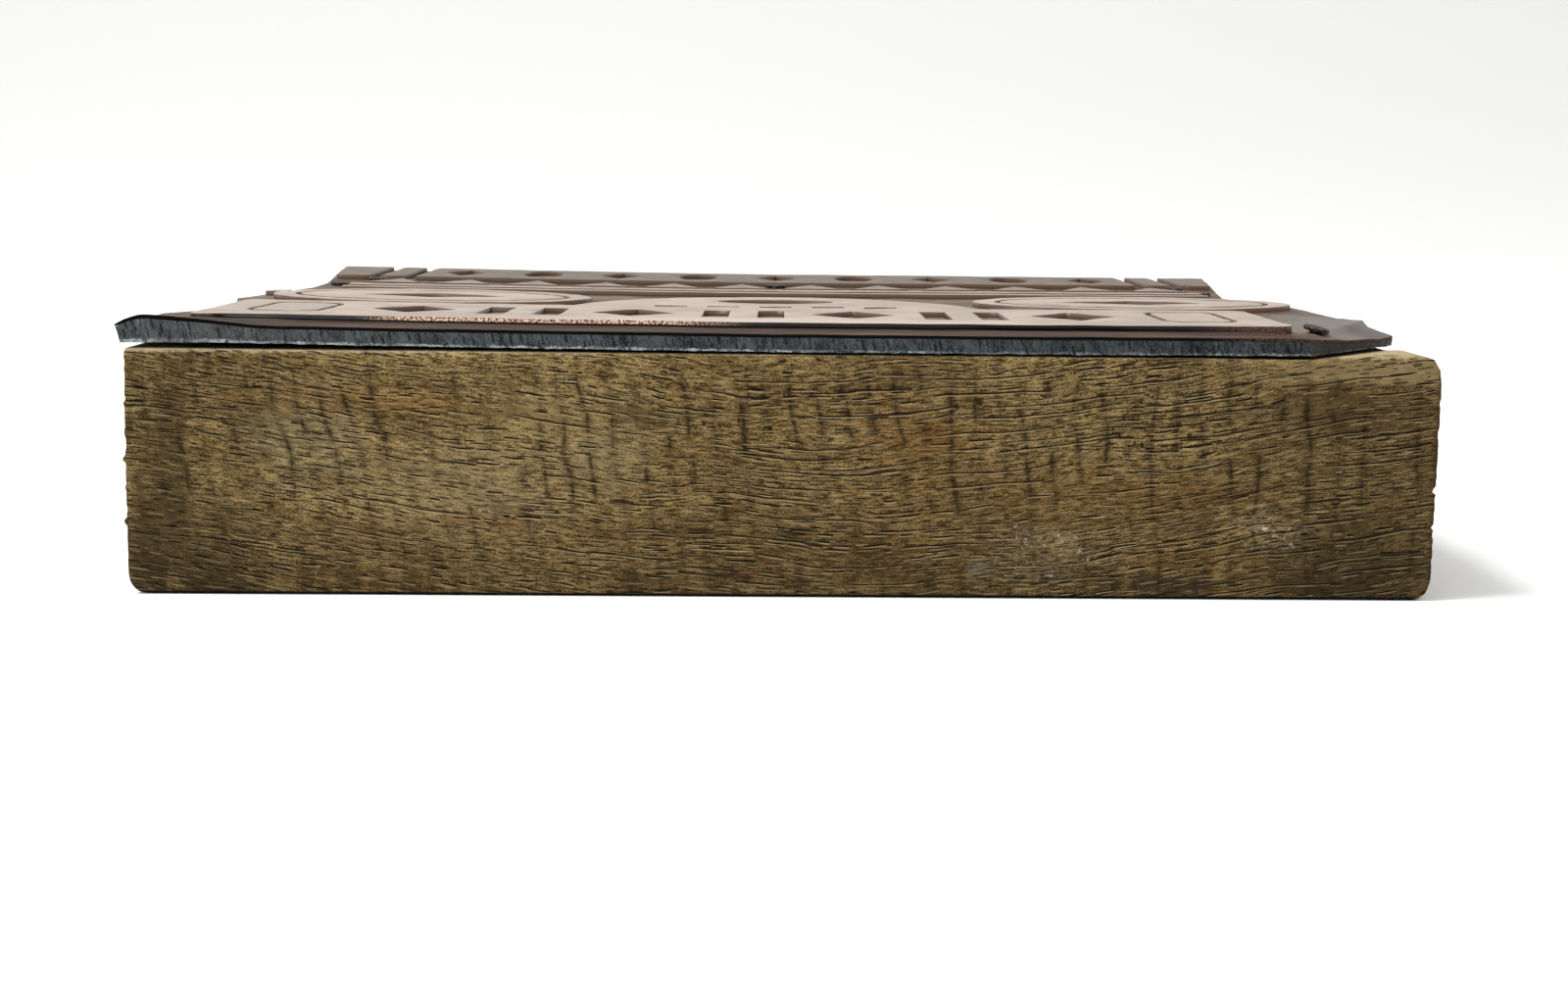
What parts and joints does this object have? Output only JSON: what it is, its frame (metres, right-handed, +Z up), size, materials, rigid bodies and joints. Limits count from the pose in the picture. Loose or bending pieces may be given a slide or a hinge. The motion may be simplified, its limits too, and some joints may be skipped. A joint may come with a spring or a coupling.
{
  "type": "letterpress printing block",
  "caption": "Letterpress printing block: a copper relief plate backed with lead alloy and nailed to a hardwood block at type height, worn and lifting at one end.",
  "frame": {"origin": "middle of the wood block's flat bed face", "axes": "+X along the block's long side to the right, +Y from the front face to the back, +Z up from the bed face to the printing face"},
  "size_m": [0.1136, 0.09, 0.0244],
  "materials": {
    "wood": "bare close-grained hardwood, darkened by age and ink, rubbed pale on the top edge",
    "lead": "dull grey lead alloy with upright shear marks along its cut edges",
    "copper": "pinkish copper, polished on the raised face and brown on the low ground",
    "nail": "dark tarnished steel"
  },
  "bodies": {
    "root": {"wood_block": "wood", "lead_backing": "lead", "copper_shell": "copper", "nail_1": "nail", "nail_2": "nail", "nail_3": "nail", "nail_4": "nail", "nail_5": "nail", "nail_6": "nail", "nail_7": "nail", "nail_8": "nail"}
  },
  "joints": []
}
